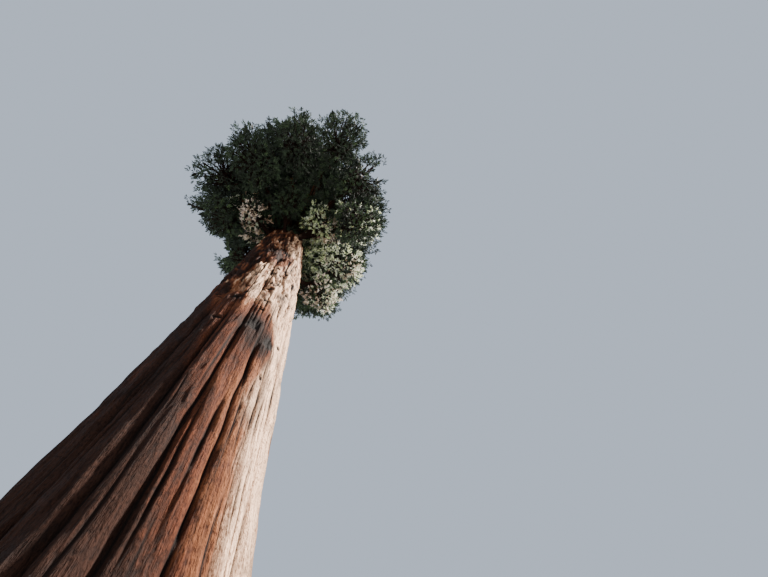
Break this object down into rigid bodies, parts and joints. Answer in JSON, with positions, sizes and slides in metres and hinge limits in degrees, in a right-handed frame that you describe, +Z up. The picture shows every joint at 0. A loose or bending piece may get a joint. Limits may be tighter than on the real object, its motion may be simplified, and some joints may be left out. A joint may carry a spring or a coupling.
{
  "type": "giant sequoia tree",
  "caption": "Tall conifer with a flared, fluted trunk that stands bare below a long, rounded crown of dense foliage masses on boughs.",
  "frame": {"origin": "centre of the flat cut through the trunk at ground level", "axes": "+Z up the trunk; -Y is the side that the picture was taken from, and +X is to the right as seen from there"},
  "size_m": [10.9962, 11.8712, 40],
  "materials": {
    "bark": "deeply furrowed, fibrous reddish-brown bark, matt",
    "limb_bark": "rough brown limb bark, matt",
    "foliage": "dark green sprays of short needles, slightly waxy"
  },
  "bodies": {
    "root": {"trunk": "bark", "bough_low_1": "limb_bark", "bough_low_2": "limb_bark", "bough_low_3": "limb_bark", "bough_low_4": "limb_bark", "bough_low_5": "limb_bark", "bough_low_6": "limb_bark", "bough_low_7": "limb_bark", "bough_low_8": "limb_bark", "bough_low_9": "limb_bark", "bough_low_10": "limb_bark", "bough_low_11": "limb_bark", "bough_wide_1": "limb_bark", "bough_wide_2": "limb_bark", "bough_wide_3": "limb_bark", "bough_wide_4": "limb_bark", "bough_wide_5": "limb_bark", "bough_wide_6": "limb_bark", "foliage_collar_1": "foliage", "foliage_collar_2": "foliage", "foliage_collar_3": "foliage", "foliage_high_1": "foliage", "foliage_high_2": "foliage", "foliage_high_3": "foliage", "foliage_high_4": "foliage", "foliage_low_1": "foliage", "foliage_low_2": "foliage", "foliage_low_3": "foliage", "foliage_low_4": "foliage", "foliage_low_5": "foliage", "foliage_low_6": "foliage", "foliage_low_7": "foliage", "foliage_low_8": "foliage", "foliage_low_9": "foliage", "foliage_low_10": "foliage", "foliage_low_11": "foliage", "foliage_middle_1": "foliage", "foliage_middle_2": "foliage", "foliage_middle_3": "foliage", "foliage_middle_4": "foliage", "foliage_middle_5": "foliage", "foliage_neck_1": "foliage", "foliage_neck_2": "foliage", "foliage_shoulder_1": "foliage", "foliage_shoulder_2": "foliage", "foliage_shoulder_3": "foliage", "foliage_shoulder_4": "foliage", "foliage_skirt_1": "foliage", "foliage_skirt_2": "foliage", "foliage_top": "foliage", "foliage_upper_1": "foliage", "foliage_upper_2": "foliage", "foliage_upper_3": "foliage", "foliage_wide_1": "foliage", "foliage_wide_2": "foliage", "foliage_wide_3": "foliage", "foliage_wide_4": "foliage", "foliage_wide_5": "foliage", "foliage_wide_6": "foliage"}
  },
  "joints": []
}
